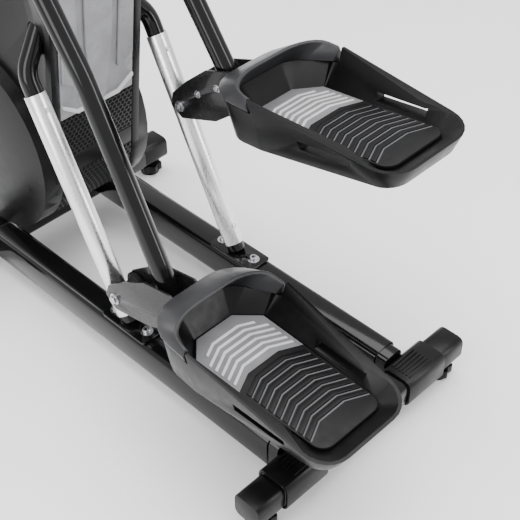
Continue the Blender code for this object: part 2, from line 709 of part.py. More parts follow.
def between(low, high, height):
    """Points where the lines from a low ring to a high ring pass a height."""
    shares = [(height - a[2]) / (b[2] - a[2]) for a, b in zip(low, high)]
    return [tuple(Vector(a).lerp(Vector(b), share)) for a, b, share in zip(low, high, shares)]


def build_pedal(word, parent):
    rim, belly = sloped(RIM_AT_SEAM, RIM_AT_REAR), sloped(BELLY_AT_SEAM, BELLY_AT_REAR)
    floor_top = PAD_LEVEL - PAD_THICKNESS - GAP
    outer_low, outer_high = at_height(pedal_outline(PEDAL_TUCK), belly), at_height(pedal_outline(0.0), rim)
    inner_low = at_height(pad_outline(PAD_PLAY), (floor_top, 0.0))
    inner_high = at_height(pedal_outline(PEDAL_WALL), rim)
    tray = rings("pedal_tray_" + word, (outer_low, outer_high), BLACK_PLASTIC, parent)
    above = [tuple(Vector(high) * 2 - Vector(low)) for low, high in zip(inner_low, inner_high)]
    pocket = rings("pocket", (inner_low, above), ZINC, parent)
    under = rings("under", (at_height(pad_outline(0.0), (-0.4, 0.0)),
                            at_height(pad_outline(0.0), (floor_top - PEDAL_FLOOR, 0.0))), ZINC, parent)
    slot = block("slot", (0.4, SIDE_SLOT_FRONT - SIDE_SLOT_REAR, SIDE_SLOT_HEIGHT),
                 (0.0, (SIDE_SLOT_FRONT + SIDE_SLOT_REAR) / 2, PAD_LEVEL + SIDE_SLOT_HEIGHT / 2 + 0.001),
                 ZINC, parent=parent)
    front = block("front", (0.4, 0.3, 0.2), (0.0, PEDAL_SEAM + 0.15, PAD_LEVEL + GUARD_BASE + 0.1), ZINC,
                  parent=parent)
    cut(tray, pocket, under, slot, front)
    build_toe_guard(word, parent, (outer_low, outer_high), (inner_low, inner_high))
    rings("foot_pad_" + word, (at_height(pad_outline(0.0), (PAD_LEVEL - PAD_THICKNESS, 0.0)),
                               at_height(pad_outline(0.0), (PAD_LEVEL, 0.0))), SOFT_PAD, parent)


def build_toe_guard(word, parent, outer, inner):
    """Hood that stands on the front of the tray, from the seam round the toe, and leans back at the top."""
    base = PAD_LEVEL + GUARD_BASE + GAP
    foot_out, foot_in = between(*outer, base), between(*inner, base)
    front = [i for i, point in enumerate(outer[1]) if point[1] > PEDAL_SEAM + 0.006]
    low_out, low_in, brow, crest, lining = [], [], [], [], []
    for i in front:
        x, y, _ = outer[1][i]
        share = (y - PEDAL_SEAM) / (PEDAL_FRONT - PEDAL_SEAM)
        top = PAD_LEVEL + GUARD_CREST_AT_SEAM + share * (GUARD_CREST_AT_FRONT - GUARD_CREST_AT_SEAM)
        back = PEDAL_SEAM + (y - PEDAL_SEAM) * GUARD_REACH + 0.003
        inward = 1.0 - GUARD_WALL / PEDAL_HALF_SEAM
        low_out.append(foot_out[i])
        brow.append((x, y, PAD_LEVEL + GUARD_OUTER_TOP))
        crest.append((x * inward, back, top))
        lining.append((x * inward * inward, back - GUARD_WALL, top - GUARD_WALL / 2))
        low_in.append(foot_in[i])
    rings("toe_guard_" + word, (low_out, brow, crest, lining, low_in), GREY_PLASTIC, parent, closed=True)


# ---- drive

def build_cranks():
    spin = axis_point("crank_axis", CRANK_CENTRE)
    for side, word, pin in ((-1, "left", PIN_LOW), (1, "right", PIN_HIGH)):
        reach = pin - CRANK_CENTRE
        angle = math.atan2(reach.z, reach.y)
        hub = arc((0, 0), CRANK_HUB_RADIUS, angle + math.pi / 2, angle + 1.5 * math.pi, 10)
        eye = arc((reach.y, reach.z), BIG_END_RADIUS * 0.8, angle - math.pi / 2, angle + math.pi / 2, 8)
        low, high = side_place(side, CRANK_ARM_X, CRANK_ARM_X + CRANK_ARM_THICKNESS)
        arm = plate("crank_arm_" + word, (hub + eye,), low, high, SILVER, parent=spin)
        low, high = side_place(side, CRANK_ARM_X + CRANK_ARM_THICKNESS / 2, LEG_INNER_X - RUNNING_GAP)
        weld(arm, round_bar("pin", CRANK_PIN_RADIUS, low, high, (reach.y, reach.z), ZINC, spin, 16))
    half = PULLEY_WIDTH / 2
    profile = ((0.0, half), (PULLEY_RADIUS, half), (PULLEY_RADIUS, -half), (0.0, -half))
    pulley = turned("drive_pulley", profile, BLACK_PLASTIC, SIDE, spin, 40)
    weld(pulley, round_bar("axle", CRANK_AXLE_RADIUS, -CRANK_ARM_X + GAP, CRANK_ARM_X - GAP, (0.0, 0.0),
                           ZINC, spin, 16))


def build_flywheel():
    spin = axis_point("flywheel_axis", FLYWHEEL_CENTRE)
    hole = FLYWHEEL_AXLE_RADIUS + 0.0005
    half = FLYWHEEL_WIDTH / 2
    pulley_half = PULLEY_WIDTH / 2
    offset = pulley_half + 0.004
    profile = ((hole, pulley_half), (FLYWHEEL_PULLEY_RADIUS, pulley_half),
               (FLYWHEEL_PULLEY_RADIUS, -pulley_half), (0.022, -pulley_half), (0.022, -offset),
               (FLYWHEEL_RADIUS - 0.018, -offset), (FLYWHEEL_RADIUS - 0.018, -pulley_half),
               (FLYWHEEL_RADIUS, -pulley_half), (FLYWHEEL_RADIUS, -pulley_half - half),
               (FLYWHEEL_RADIUS - 0.018, -pulley_half - half), (FLYWHEEL_RADIUS - 0.018, -offset - 0.006),
               (0.022, -offset - 0.006), (0.022, -0.050), (hole, -0.050))
    turned("flywheel", profile, CAST_IRON, SIDE, spin, 40, closed=True)
    ends = FRAME_PLATE_X - GAP
    round_bar("flywheel_axle", FLYWHEEL_AXLE_RADIUS, -ends, ends, (FLYWHEEL_Y, FLYWHEEL_Z), ZINC, steps=16)


def build_belt():
    play = BELT_PLAY
    inner = around_wheels(FLYWHEEL_PULLEY_RADIUS + play, PULLEY_RADIUS + play, 24)
    play += BELT_THICKNESS
    outer = around_wheels(FLYWHEEL_PULLEY_RADIUS + play, PULLEY_RADIUS + play, 24)
    half = PULLEY_WIDTH / 2 - 0.002
    plate("drive_belt", (outer[0] + outer[1], inner[0] + inner[1]), -half, half, RUBBER)


def build_brake():
    """Magnet shoe below the flywheel's rim, which swings about its front end."""
    inner = FLYWHEEL_RADIUS + BRAKE_CLEARANCE
    outer = inner + BRAKE_SHOE_THICKNESS
    middle = (inner + outer) / 2
    lug_centre = Vector((0.0, middle * math.cos(BRAKE_FRONT_ANGLE), middle * math.sin(BRAKE_FRONT_ANGLE)))
    swing = axis_point("brake_axis", FLYWHEEL_CENTRE + lug_centre)
    centre = (-lug_centre.y, -lug_centre.z)
    outline = arc(centre, inner, BRAKE_REAR_ANGLE, BRAKE_FRONT_ANGLE, 8)
    outline += arc(centre, outer, BRAKE_FRONT_ANGLE, BRAKE_REAR_ANGLE, 8)
    shoe = plate("brake_magnet", (outline,), -0.040, -0.006, CAST_IRON, parent=swing)
    weld(shoe, round_bar("lug", 0.009, -0.040, -0.006, (0.0, 0.0), CAST_IRON, swing, 12))


def build_main_frame():
    """Two upright plates and their spacer bars, which carry the flywheel, the crank and the mast."""
    foot_y = FRONT_BAR_Y
    crank_y, crank_z = CRANK_CENTRE.y, CRANK_CENTRE.z
    crown_z = HANDLE_PIVOT[1] + FRAME_CROWN_RISE
    outline = rounded(((foot_y - 0.026, BAR_TOP + GAP), (foot_y + 0.026, BAR_TOP + GAP),
                       (FLYWHEEL_Y + 0.036, FLYWHEEL_Z), (crank_y + 0.040, crank_z),
                       (HANDLE_PIVOT[0] + 0.036, crown_z), (HANDLE_PIVOT[0] - 0.036, crown_z),
                       (crank_y - 0.040, crank_z), (TRACK_TOP_Y - 0.030, TRACK_TOP_Z),
                       (FLYWHEEL_Y - 0.036, FLYWHEEL_Z)), 0.004, 1)
    crank_hole = circle((crank_y, crank_z), CRANK_AXLE_RADIUS + 0.001)
    shaft_hole = circle(HANDLE_PIVOT, HANDLE_SHAFT_RADIUS + GAP)
    plates = []
    for side in (-1, 1):
        low, high = side_place(side, FRAME_PLATE_X, FRAME_PLATE_X + FRAME_PLATE_THICKNESS)
        plates.append(plate("main_frame", (outline, crank_hole, shaft_hole), low, high, BLACK_STEEL))
    spacers = []
    reach = FRAME_PLATE_X + FRAME_PLATE_THICKNESS / 2
    for where in ((foot_y, BAR_TOP + 0.014), (TRACK_TOP_Y - 0.016, TRACK_TOP_Z)):
        spacers.append(round_bar("spacer", 0.009, -reach, reach, where, BLACK_STEEL, steps=12))
    weld(plates[0], plates[1], *spacers)


# ---- housing

def case_points(inset):
    """Rear tangent points of the case on the fan's circle and on the crank's, moved in by the inset."""
    top, bottom = around_wheels(FAN_CASE_RADIUS - inset, CRANK_CASE_RADIUS - inset, 20)
    return top, bottom, Vector(bottom[-1]), Vector(top[0])


def on_rear(inset, height):
    """Point of the case's straight rear line at a height."""
    low, high = case_points(inset)[2:]
    share = (height - low.y) / (high.y - low.y)
    return tuple(low.lerp(high, share))


def on_fan(inset, angle):
    radius = FAN_CASE_RADIUS - inset
    return (FLYWHEEL_Y + radius * math.cos(angle), FLYWHEEL_Z + radius * math.sin(angle))


def build_side_shells():
    top_out, bottom_out = case_points(0.0)[:2]
    top_in, bottom_in = case_points(CASE_WALL)[:2]
    fan = (FLYWHEEL_Y, FLYWHEEL_Z)
    hole = circle((CRANK_CENTRE.y, CRANK_CENTRE.z), CRANK_AXLE_RADIUS + 0.002, 16)
    for side, word in ((-1, "left"), (1, "right")):
        low, high = side_place(side, SHELL_INNER_X, SHELL_OUTER_X)
        shell = plate("side_shell_" + word, (top_out + bottom_out, hole), low, high, BLACK_PLASTIC)
        low, high = side_place(side, SHELL_INNER_X, FAN_CASE_HALF)
        shell = as_mesh(weld(shell, plate("drum", (circle(fan, FAN_CASE_RADIUS, 40),), low, high, ZINC)))
        low, high = side_place(side, SHELL_INNER_X - 0.01, SHELL_OUTER_X - CASE_WALL)
        space = plate("space", (top_in + bottom_in,), low, high, ZINC)
        low, high = side_place(side, SHELL_INNER_X - 0.01, FAN_CASE_HALF - CASE_WALL)
        drum = plate("drum space", (circle(fan, FAN_CASE_RADIUS - CASE_WALL, 40),), low, high, ZINC)
        passage = tube("passage", track_path(side), TRACK_TUBE_RADIUS + 0.002, ZINC)
        cut(shell, space, drum, passage)


def build_case_strips():
    """Panels between the side shells: silver panel, two vents with a band between them, and front."""
    half = SHELL_INNER_X - GAP
    top_out, bottom_out, _, _ = case_points(0.0)
    top_in, bottom_in, _, _ = case_points(CASE_WALL)
    outline = [on_rear(0.0, PANEL_BOTTOM_Z), *top_out[:11], *top_in[10::-1],
               on_rear(CASE_WALL, PANEL_BOTTOM_Z)]
    plate("rear_panel", (outline,), -half, half, SILVER)
    for name, low, high in (("upper_vent", BAND_TOP_Z, PANEL_BOTTOM_Z - SEAM),
                            ("vent_band", BAND_BOTTOM_Z + SEAM, BAND_TOP_Z - SEAM)):
        outline = [on_rear(0.0, low), on_rear(0.0, high), on_rear(CASE_WALL, high), on_rear(CASE_WALL, low)]
        plate(name, (outline,), -half, half, BLACK_PLASTIC)
    start = math.atan2(bottom_out[-1][1] - FLYWHEEL_Z, bottom_out[-1][0] - FLYWHEEL_Y) % math.tau
    angles = [start + (LOWER_VENT_ANGLE - start) * i / 8 for i in range(9)]
    outline = [on_rear(0.0, BAND_BOTTOM_Z)] + [on_fan(0.0, angle) for angle in angles]
    outline += [on_fan(CASE_WALL, angle) for angle in reversed(angles)] + [on_rear(CASE_WALL, BAND_BOTTOM_Z)]
    plate("lower_vent", (outline,), -half, half, BLACK_PLASTIC)
    under = FRONT_COVER_ANGLE
    angles = [under + (math.tau - under) * i / 10 for i in range(11)]
    front = math.atan2(bottom_out[0][1] - FLYWHEEL_Z, bottom_out[0][0] - FLYWHEEL_Y)
    angles += [math.tau + front * (i + 1) / 4 for i in range(4)]
    outline = [on_fan(0.0, angle) for angle in angles] + top_out[:15:-1]
    outline += top_in[16:] + [on_fan(CASE_WALL, angle) for angle in reversed(angles)]
    plate("front_cover", (outline,), -half, half, BLACK_PLASTIC)


# ---- upper works

def mast_y(height):
    """Where the mast's axis is at a height above its knee."""
    share = (height - MAST_KNEE[1]) / (MAST_HEAD[1] - MAST_KNEE[1])
    return MAST_KNEE[0] + share * (MAST_HEAD[0] - MAST_KNEE[0])


def console_frame():
    return (Matrix.Translation((0.0, *CONSOLE_CENTRE))
            @ Matrix.Rotation(CONSOLE_TILT, 4, "X") @ Matrix.Rotation(math.pi / 2, 4, "X"))


def build_mast():
    path = bent([(0.0, *point) for point in (MAST_FOOT, MAST_KNEE, MAST_HEAD)], 0.12)
    mast = tube("mast", path, MAST_WIDTH / 2, BLACK_STEEL)
    reach = HANDLE_X + HANDLE_HUB_HALF
    shaft = round_bar("shaft", HANDLE_SHAFT_RADIUS, -reach, reach, HANDLE_PIVOT, ZINC, steps=16)
    head = block("head", (0.3, 0.4, 0.3), (0.0, 0.0, 0.15 - CONSOLE_DEPTH / 2 - GAP), ZINC, console_frame())
    cut(as_mesh(weld(mast, shaft)), head)


def build_handles():
    crown = Vector((0.0, *HANDLE_PIVOT))
    for side, word in ((-1, "left"), (1, "right")):
        pivot = axis_point(word + "_handle_axis", crown + Vector((side * HANDLE_X, 0.0, 0.0)),
                           side * HANDLE_SWING)
        path = bent([(0.0, 0.0, 0.0), (side * 0.010, -0.015, 0.180), (side * 0.055, -0.150, 0.340),
                     (side * 0.040, -0.285, 0.400), (side * -0.020, -0.330, 0.330)], 0.05)
        arm = tube("handle_arm_" + word, path, HANDLE_TUBE_RADIUS, BLACK_STEEL, pivot)
        hub = round_bar("hub", HANDLE_HUB_RADIUS, -HANDLE_HUB_HALF, HANDLE_HUB_HALF, (0, 0), BLACK_STEEL,
                        pivot, 20)
        cut(as_mesh(weld(arm, hub)), bore(HANDLE_SHAFT_RADIUS + 0.0006, -0.05, 0.05, (0, 0), pivot))


def build_static_handlebar():
    half, height = STATIC_BAR_HALF, STATIC_BAR_Z
    clamp_y = mast_y(height) - MAST_WIDTH / 2 - STATIC_BAR_RADIUS - CLAMP_PLAY
    path = bent([(-half, clamp_y - 0.180, height + 0.045), (-half, clamp_y - 0.050, height + 0.010),
                 (-half + 0.090, clamp_y, height), (half - 0.090, clamp_y, height),
                 (half, clamp_y - 0.050, height + 0.010), (half, clamp_y - 0.180, height + 0.045)], 0.04)
    tube("static_handlebar", path, STATIC_BAR_RADIUS, BLACK_STEEL)


def build_console():
    frame = console_frame()
    outline = rounded(((-CONSOLE_WIDTH / 2, CONSOLE_HEIGHT / 2), (-CONSOLE_WIDTH * 0.40, -CONSOLE_HEIGHT / 2),
                       (CONSOLE_WIDTH * 0.40, -CONSOLE_HEIGHT / 2), (CONSOLE_WIDTH / 2, CONSOLE_HEIGHT / 2)),
                      0.03, 5)
    body = plate("console_housing", (outline,), -CONSOLE_DEPTH / 2, CONSOLE_DEPTH / 2, BLACK_PLASTIC, frame)
    face = CONSOLE_DEPTH / 2
    recess = plate("recess", (box_outline(0.180, 0.100, 0.008, (0.0, 0.035)),), face - 0.004, face + 0.02,
                   ZINC, frame)
    plate("console_screen", (box_outline(0.179, 0.099, 0.0075, (0.0, 0.035)),), face - 0.004 + GAP,
          face - 0.0005, GLASS_BLACK, frame)
    wells = []
    for number, x in enumerate((-0.050, 0.0, 0.050)):
        well = plate("well", (circle((x, -0.060), 0.0125, 16),), face - 0.008, face + 0.02, ZINC, frame)
        wells.append(well)
        name = ("resistance_down_button", "start_button", "resistance_up_button")[number]
        plate(name, (circle((x, -0.060), 0.0118, 16),), face - 0.008 + BUTTON_TRAVEL + GAP, face + 0.0025,
              GREY_PLASTIC, frame)
    cut(body, recess, *wells)


def centre_on_floor():
    """Move the whole model so that its box stands on the floor, centred on the origin."""
    bpy.context.view_layer.update()
    graph = bpy.context.evaluated_depsgraph_get()
    points = []
    for item in PARTS.objects:
        if item.type == "EMPTY":
            continue
        seen = item.evaluated_get(graph)
        points += [seen.matrix_world @ vert.co for vert in seen.to_mesh().vertices]
        seen.to_mesh_clear()
    middle = [(min(p[i] for p in points) + max(p[i] for p in points)) / 2 for i in range(2)]
    shift = Vector((-middle[0], -middle[1], -min(p.z for p in points)))
    for item in list(PARTS.objects) + list(CUTTERS.objects):
        if item.parent is None:
            item.location += shift


clear_scene()
PARTS = parts_collection(OBJECT_NAME)
CUTTERS = parts_collection("cutters")
build_rails()
build_bar("rear", REAR_BAR_Y, REAR_BAR_DEPTH, REAR_BAR_HALF, REAR_CAP_LENGTH)
build_bar("front", FRONT_BAR_Y, FRONT_BAR_DEPTH, FRONT_BAR_HALF, FRONT_CAP_LENGTH, wheel_lugs())
build_rear_sleeves()
build_feet()
build_transport_wheels()
build_tracks()
build_leg(-1, "left")
build_leg(1, "right")
build_cranks()
build_flywheel()
build_belt()
build_brake()
build_main_frame()
build_side_shells()
build_case_strips()
build_mast()
build_handles()
build_static_handlebar()
build_console()
centre_on_floor()
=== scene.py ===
"""Finished look of the elliptical trainer: smooth tubes, moulded pedals, steel, castings and covers.

Metres, +X to the user's right, +Y the way the user faces, +Z up, as in the solid model.
"""
import json
import math

import bmesh
import bpy
from mathutils import Matrix, Vector

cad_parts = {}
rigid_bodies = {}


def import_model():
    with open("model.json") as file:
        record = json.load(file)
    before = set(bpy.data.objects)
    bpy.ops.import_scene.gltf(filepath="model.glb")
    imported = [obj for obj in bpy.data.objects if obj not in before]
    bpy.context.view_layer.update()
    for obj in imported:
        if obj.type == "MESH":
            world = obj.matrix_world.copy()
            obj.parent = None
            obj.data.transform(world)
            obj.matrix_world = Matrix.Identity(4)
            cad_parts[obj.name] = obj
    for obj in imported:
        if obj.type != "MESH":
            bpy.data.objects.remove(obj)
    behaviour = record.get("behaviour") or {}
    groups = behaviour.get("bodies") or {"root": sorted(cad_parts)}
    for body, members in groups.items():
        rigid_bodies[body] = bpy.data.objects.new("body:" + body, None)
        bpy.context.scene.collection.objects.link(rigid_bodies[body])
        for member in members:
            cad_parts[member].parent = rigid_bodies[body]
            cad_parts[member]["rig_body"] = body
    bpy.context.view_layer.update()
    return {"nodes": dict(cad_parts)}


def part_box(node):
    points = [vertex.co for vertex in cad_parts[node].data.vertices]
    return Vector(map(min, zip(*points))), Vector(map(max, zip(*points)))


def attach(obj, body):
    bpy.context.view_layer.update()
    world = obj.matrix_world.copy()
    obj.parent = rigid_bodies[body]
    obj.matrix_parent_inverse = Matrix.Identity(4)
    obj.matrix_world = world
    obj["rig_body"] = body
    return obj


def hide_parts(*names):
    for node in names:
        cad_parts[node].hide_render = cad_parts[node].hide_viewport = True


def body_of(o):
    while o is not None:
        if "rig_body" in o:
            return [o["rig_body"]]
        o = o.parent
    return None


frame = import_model()

TRACK_X = 0.144
TRACK_ANGLE = math.radians(63.1)
TRACK_FOOT = Vector((0.0, -0.0268, 0.105))
TRACK_RUN = Vector((0.0, math.cos(TRACK_ANGLE), math.sin(TRACK_ANGLE)))
TRACK_OUT = Vector((0.0, -math.sin(TRACK_ANGLE), math.cos(TRACK_ANGLE)))
TRACK_START = 0.006              # along the track, from the top of the rail
TRACK_BEND = 0.512
TRACK_BEND_RADIUS = 0.060
TRACK_TUBE_RADIUS = 0.0175
TRACK_HEAD = (0.046, 0.2367, 0.682)
FRAME_PLATE_FACE_X = 0.0625
SLEEVE_INNER_RADIUS = 0.0178
SLEEVE_OUTER_RADIUS = 0.0205
SLEEVE_ENDS = (0.022, 0.472)
SLEEVE_WRAP = math.radians(236)
LEG_ROUTE = ((-0.131, 0.066), (0.061, 0.443), (0.183, 0.614))
LEG_BEND_RADIUS = 0.35
LEG_TUBE_RADIUS = 0.019
BIG_END_RADIUS = 0.031
BIG_END_BORE = 0.0132
ROLLER_RIM = 0.0270
ROLLER_WAIST = 0.0150
ROLLER_HALF_WIDTH = 0.0260
ROLLER_BORE = 0.0056
BRACKET_HALF_WIDTH = 0.0312
HANDLE_TUBE_RADIUS = 0.016
HANDLE_GRIP_RADIUS = 0.0182
HANDLE_LEAN = math.radians(10.0)
MERGE = 0.00001                  # vertices closer than this are one
LEG_TILT = math.radians(9.2)
LEFT_LEG = Matrix.Translation((-TRACK_X, -0.0257, 0.1863))
RIGHT_LEG = Matrix.Translation((TRACK_X, 0.0928, 0.4199)) @ Matrix.Rotation(-LEG_TILT, 4, "X")
PAD_LEVEL = 0.069
PAD_SPLIT = -0.3545              # where the silver toe of the pad gives way to the black heel

PAD_LEAN = 0.46                  # radians that the split's outer runs sweep back
SPLIT_HALF = 0.036               # half width of its level middle
RIDGE_FOOT = PAD_LEVEL - 0.0008

SIDES = (("left", -1, LEFT_LEG), ("right", 1, RIGHT_LEG))


# ---- finishes

class Finish:
    """A Principled material whose colour, roughness and bump come from nodes on object coordinates."""

    def __init__(self, name, colour, roughness, metallic=0.0, coat=0.0, shine=0.22):
        self.material = bpy.data.materials.new(name)
        self.material.use_nodes = True
        self.nodes = self.material.node_tree.nodes
        self.links = self.material.node_tree.links
        self.shader = self.nodes["Principled BSDF"]
        self.shader.inputs["Base Color"].default_value = (*colour, 1.0)
        self.shader.inputs["Roughness"].default_value = roughness
        self.shader.inputs["Metallic"].default_value = metallic
        self.shader.inputs["Coat Weight"].default_value = coat
        self.shader.inputs["Specular IOR Level"].default_value = shine
        self.shader.inputs["Coat Roughness"].default_value = 0.08
        self.place = self.nodes.new("ShaderNodeTexCoord").outputs["Object"]

    def stretched(self, scale, turn=(0.0, 0.0, 0.0)):
        mapping = self.nodes.new("ShaderNodeMapping")
        mapping.inputs["Scale"].default_value = scale
        mapping.inputs["Rotation"].default_value = turn
        self.links.new(self.place, mapping.inputs["Vector"])
        return mapping.outputs["Vector"]

    def noise(self, scale, detail=3.0, where=None):
        texture = self.nodes.new("ShaderNodeTexNoise")
        texture.inputs["Scale"].default_value = scale
        texture.inputs["Detail"].default_value = detail
        self.links.new(where or self.place, texture.inputs["Vector"])
        return texture.outputs["Fac"]

    def ramp(self, source, low, high, start=0.3, end=0.7):
        fit = self.nodes.new("ShaderNodeMapRange")
        fit.inputs["From Min"].default_value = start
        fit.inputs["From Max"].default_value = end
        fit.inputs["To Min"].default_value = low
        fit.inputs["To Max"].default_value = high
        self.links.new(source, fit.inputs["Value"])
        return fit.outputs["Result"]

    def rough(self, source, low, high):
        self.links.new(self.ramp(source, low, high), self.shader.inputs["Roughness"])
        return self

    def tint(self, source, low, high):
        mix = self.nodes.new("ShaderNodeMix")
        mix.data_type = "RGBA"
        mix.inputs["A"].default_value = (*low, 1.0)
        mix.inputs["B"].default_value = (*high, 1.0)
        self.links.new(self.ramp(source, 0.0, 1.0), mix.inputs["Factor"])
        self.links.new(mix.outputs["Result"], self.shader.inputs["Base Color"])
        return self

    def bump(self, source, depth, strength=1.0):
        node = self.nodes.new("ShaderNodeBump")
        node.inputs["Distance"].default_value = depth
        node.inputs["Strength"].default_value = strength
        self.links.new(source, node.inputs["Height"])
        self.links.new(node.outputs["Normal"], self.shader.inputs["Normal"])
        return self

    def maths(self, kind, a, b=None):
        node = self.nodes.new("ShaderNodeMath")
        node.operation = kind
        for socket, value in zip(node.inputs, (a, b)):
            if value is None:
                continue
            if isinstance(value, (int, float)):
                socket.default_value = value
            else:
                self.links.new(value, socket)
        return node.outputs[0]


def paint(name, colour, roughness, coat):
    look = Finish(name, colour, roughness, 0.0, coat)
    look.tint(look.noise(14.0), colour, tuple(c * 1.25 for c in colour))
    look.rough(look.noise(40.0), roughness * 0.85, roughness * 1.25)
    return look.bump(look.noise(420.0, 1.0), 0.00002).material


def moulded(name, colour, roughness, grain=900.0, depth=0.00006):
    look = Finish(name, colour, roughness)
    look.tint(look.noise(22.0), tuple(c * 0.9 for c in colour), tuple(c * 1.15 for c in colour))
    look.rough(look.noise(60.0), roughness * 0.88, roughness * 1.15)
    return look.bump(look.noise(grain, 2.0), depth).material


def metal(name, colour, roughness, along=(6.0, 6.0, 300.0), turn=(0.0, 0.0, 0.0), depth=0.00001):
    look = Finish(name, colour, roughness, 1.0)
    grain = look.noise(1.0, 3.0, look.stretched(along, turn))
    look.tint(look.noise(18.0), tuple(c * 0.93 for c in colour), colour)
    look.rough(grain, roughness * 0.8, roughness * 1.3)
    return look.bump(grain, depth).material


def honeycomb(name, colour, cell):
    """Dark mesh of small six-sided holes, laid out on the sheet's X and its height."""
    look = Finish(name, colour, 0.45)
    split = look.nodes.new("ShaderNodeSeparateXYZ")
    look.links.new(look.place, split.inputs[0])
    across = look.maths("DIVIDE", split.outputs["X"], cell)
    up = look.maths("DIVIDE", split.outputs["Z"], cell * math.sqrt(3.0))
    cells = []
    for shift in (0.0, 0.5):
        u = look.maths("SUBTRACT", look.maths("FRACT", look.maths("ADD", across, shift)), 0.5)
        v = look.maths("SUBTRACT", look.maths("FRACT", look.maths("ADD", up, shift)), 0.5)
        u = look.maths("ABSOLUTE", u)
        v = look.maths("ABSOLUTE", look.maths("MULTIPLY", v, math.sqrt(3.0)))
        slant = look.maths("ADD", look.maths("MULTIPLY", u, 0.5), look.maths("MULTIPLY", v, 0.866))
        cells.append(look.maths("MAXIMUM", u, slant))
    edge = look.maths("MINIMUM", cells[0], cells[1])
    wall = look.ramp(edge, 0.0, 1.0, 0.36, 0.42)
    mix = look.nodes.new("ShaderNodeMix")
    mix.data_type = "RGBA"
    mix.inputs["A"].default_value = (0.001, 0.001, 0.001, 1.0)
    mix.inputs["B"].default_value = (*colour, 1.0)
    look.links.new(wall, mix.inputs["Factor"])
    look.links.new(mix.outputs["Result"], look.shader.inputs["Base Color"])
    look.links.new(look.ramp(wall, 0.9, 0.4, 0.0, 1.0), look.shader.inputs["Roughness"])
    return look.bump(wall, 0.0012).material


GLOSS_BLACK = paint("gloss_black_enamel", (0.0035, 0.0035, 0.0038), 0.15, 0.25)
BLACK_MOULDING = moulded("black_moulded_plastic", (0.0030, 0.0030, 0.0032), 0.33)
DARK_COVER = moulded("dark_cover_plastic", (0.0032, 0.0032, 0.0034), 0.31)
GREY_MOULDING = moulded("grey_moulded_plastic", (0.030, 0.030, 0.032), 0.32)
SATIN_SILVER = moulded("satin_silver_panel", (0.30, 0.30, 0.31), 0.30, 1400.0, 0.00001)
# Toe ridges: the pad's silver rubber, painted lighter as a painted highlight on the ridge tops.
PAD_SILVER_HIGHLIT = moulded("pad_silver_painted_highlight", (0.50, 0.50, 0.51), 0.50)
# Toe of the pad between the ridges: the same silver rubber, painted darker as painted shade in the grooves.
PAD_SILVER_SHADED = moulded("pad_silver_painted_shade", (0.16, 0.16, 0.165), 0.60)
PAD_BLACK = moulded("pad_black_rubber", (0.005, 0.005, 0.0055), 0.55)
PAD_RIDGE = moulded("pad_black_ridge", (0.003, 0.003, 0.0032), 0.45)
# Thin grey strips on the black heel ridges: a painted highlight where light catches their edges.
PAD_RIDGE_HIGHLIGHT = moulded("pad_ridge_painted_highlight", (0.085, 0.085, 0.09), 0.55)
# The rear panel's satin silver, painted lighter as a painted highlight along its lower lip.
PANEL_LIP_HIGHLIGHT = moulded("panel_lip_painted_highlight", (0.62, 0.62, 0.63), 0.28, 1400.0, 0.00001)
GRIP = moulded("foam_grip", (0.006, 0.006, 0.006), 0.80, 500.0, 0.0004)
TYRE = moulded("roller_rubber", (0.005, 0.005, 0.005), 0.55)
BRIGHT_SLEEVE = metal("polished_sleeve", (0.93, 0.93, 0.94), 0.30, (500.0, 500.0, 5.0),
                      (math.pi / 2 - TRACK_ANGLE, 0.0, 0.0))
CAST_SILVER = metal("cast_silver_arm", (0.30, 0.30, 0.31), 0.34, (90.0, 90.0, 90.0), depth=0.00008)
BRACKET_BLACK = paint("bracket_black_enamel", (0.008, 0.008, 0.0085), 0.26, 0.3)
ZINC = metal("zinc_plate", (0.60, 0.60, 0.62), 0.28, (160.0, 160.0, 160.0))
IRON = metal("cast_iron", (0.14, 0.14, 0.145), 0.50, (260.0, 260.0, 260.0), depth=0.0002)
GLASS = paint("screen_glass", (0.006, 0.007, 0.008), 0.06, 1.0)
VENT_MESH = honeycomb("honeycomb_vent", (0.020, 0.020, 0.021), 0.0105)


# ---- making pieces

def finish_piece(name, work, look, body, nodes=(), sharp=38.0):
    """Turns a bmesh into a shaded object that rides on a body and may stand for solid nodes."""
    data = bpy.data.meshes.new(name)
    work.to_mesh(data)
    work.free()
    for material in (look if isinstance(look, tuple) else (look,)):
        data.materials.append(material)
    data.polygons.foreach_set("use_smooth", [True] * len(data.polygons))
    data.set_sharp_from_angle(angle=math.radians(sharp))
    item = bpy.data.objects.new(name, data)
    bpy.context.scene.collection.objects.link(item)
    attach(item, body)
    if nodes:
        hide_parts(*nodes)
    return item


def soften(work, width, angle=30.0, segments=2):
    """Rounds every edge sharper than the angle."""
    if width <= 0.0:
        return
    edges = [e for e in work.edges if len(e.link_faces) == 2 and e.calc_face_angle(0.0) > math.radians(angle)]
    bmesh.ops.bevel(work, geom=edges, offset=width, offset_type="OFFSET", segments=segments, profile=0.5,
                    affect="EDGES", clamp_overlap=True, material=-1)


def node_copy(node):
    """The solid node's mesh, merged and with its flat faces made whole."""
    work = bmesh.new()
    work.from_mesh(frame["nodes"][node].data)
    bmesh.ops.remove_doubles(work, verts=work.verts, dist=0.00002)
    bmesh.ops.dissolve_limit(work, angle_limit=math.radians(0.6), verts=work.verts, edges=work.edges)
    return work


def polished(node, look, width=0.0012, sharp=34.0):
    """The solid node with its edges rounded and its curves shaded smooth."""
    work = node_copy(node)
    soften(work, width)
    return finish_piece("look_" + node, work, look, BODY_OF[node], (node,), sharp)


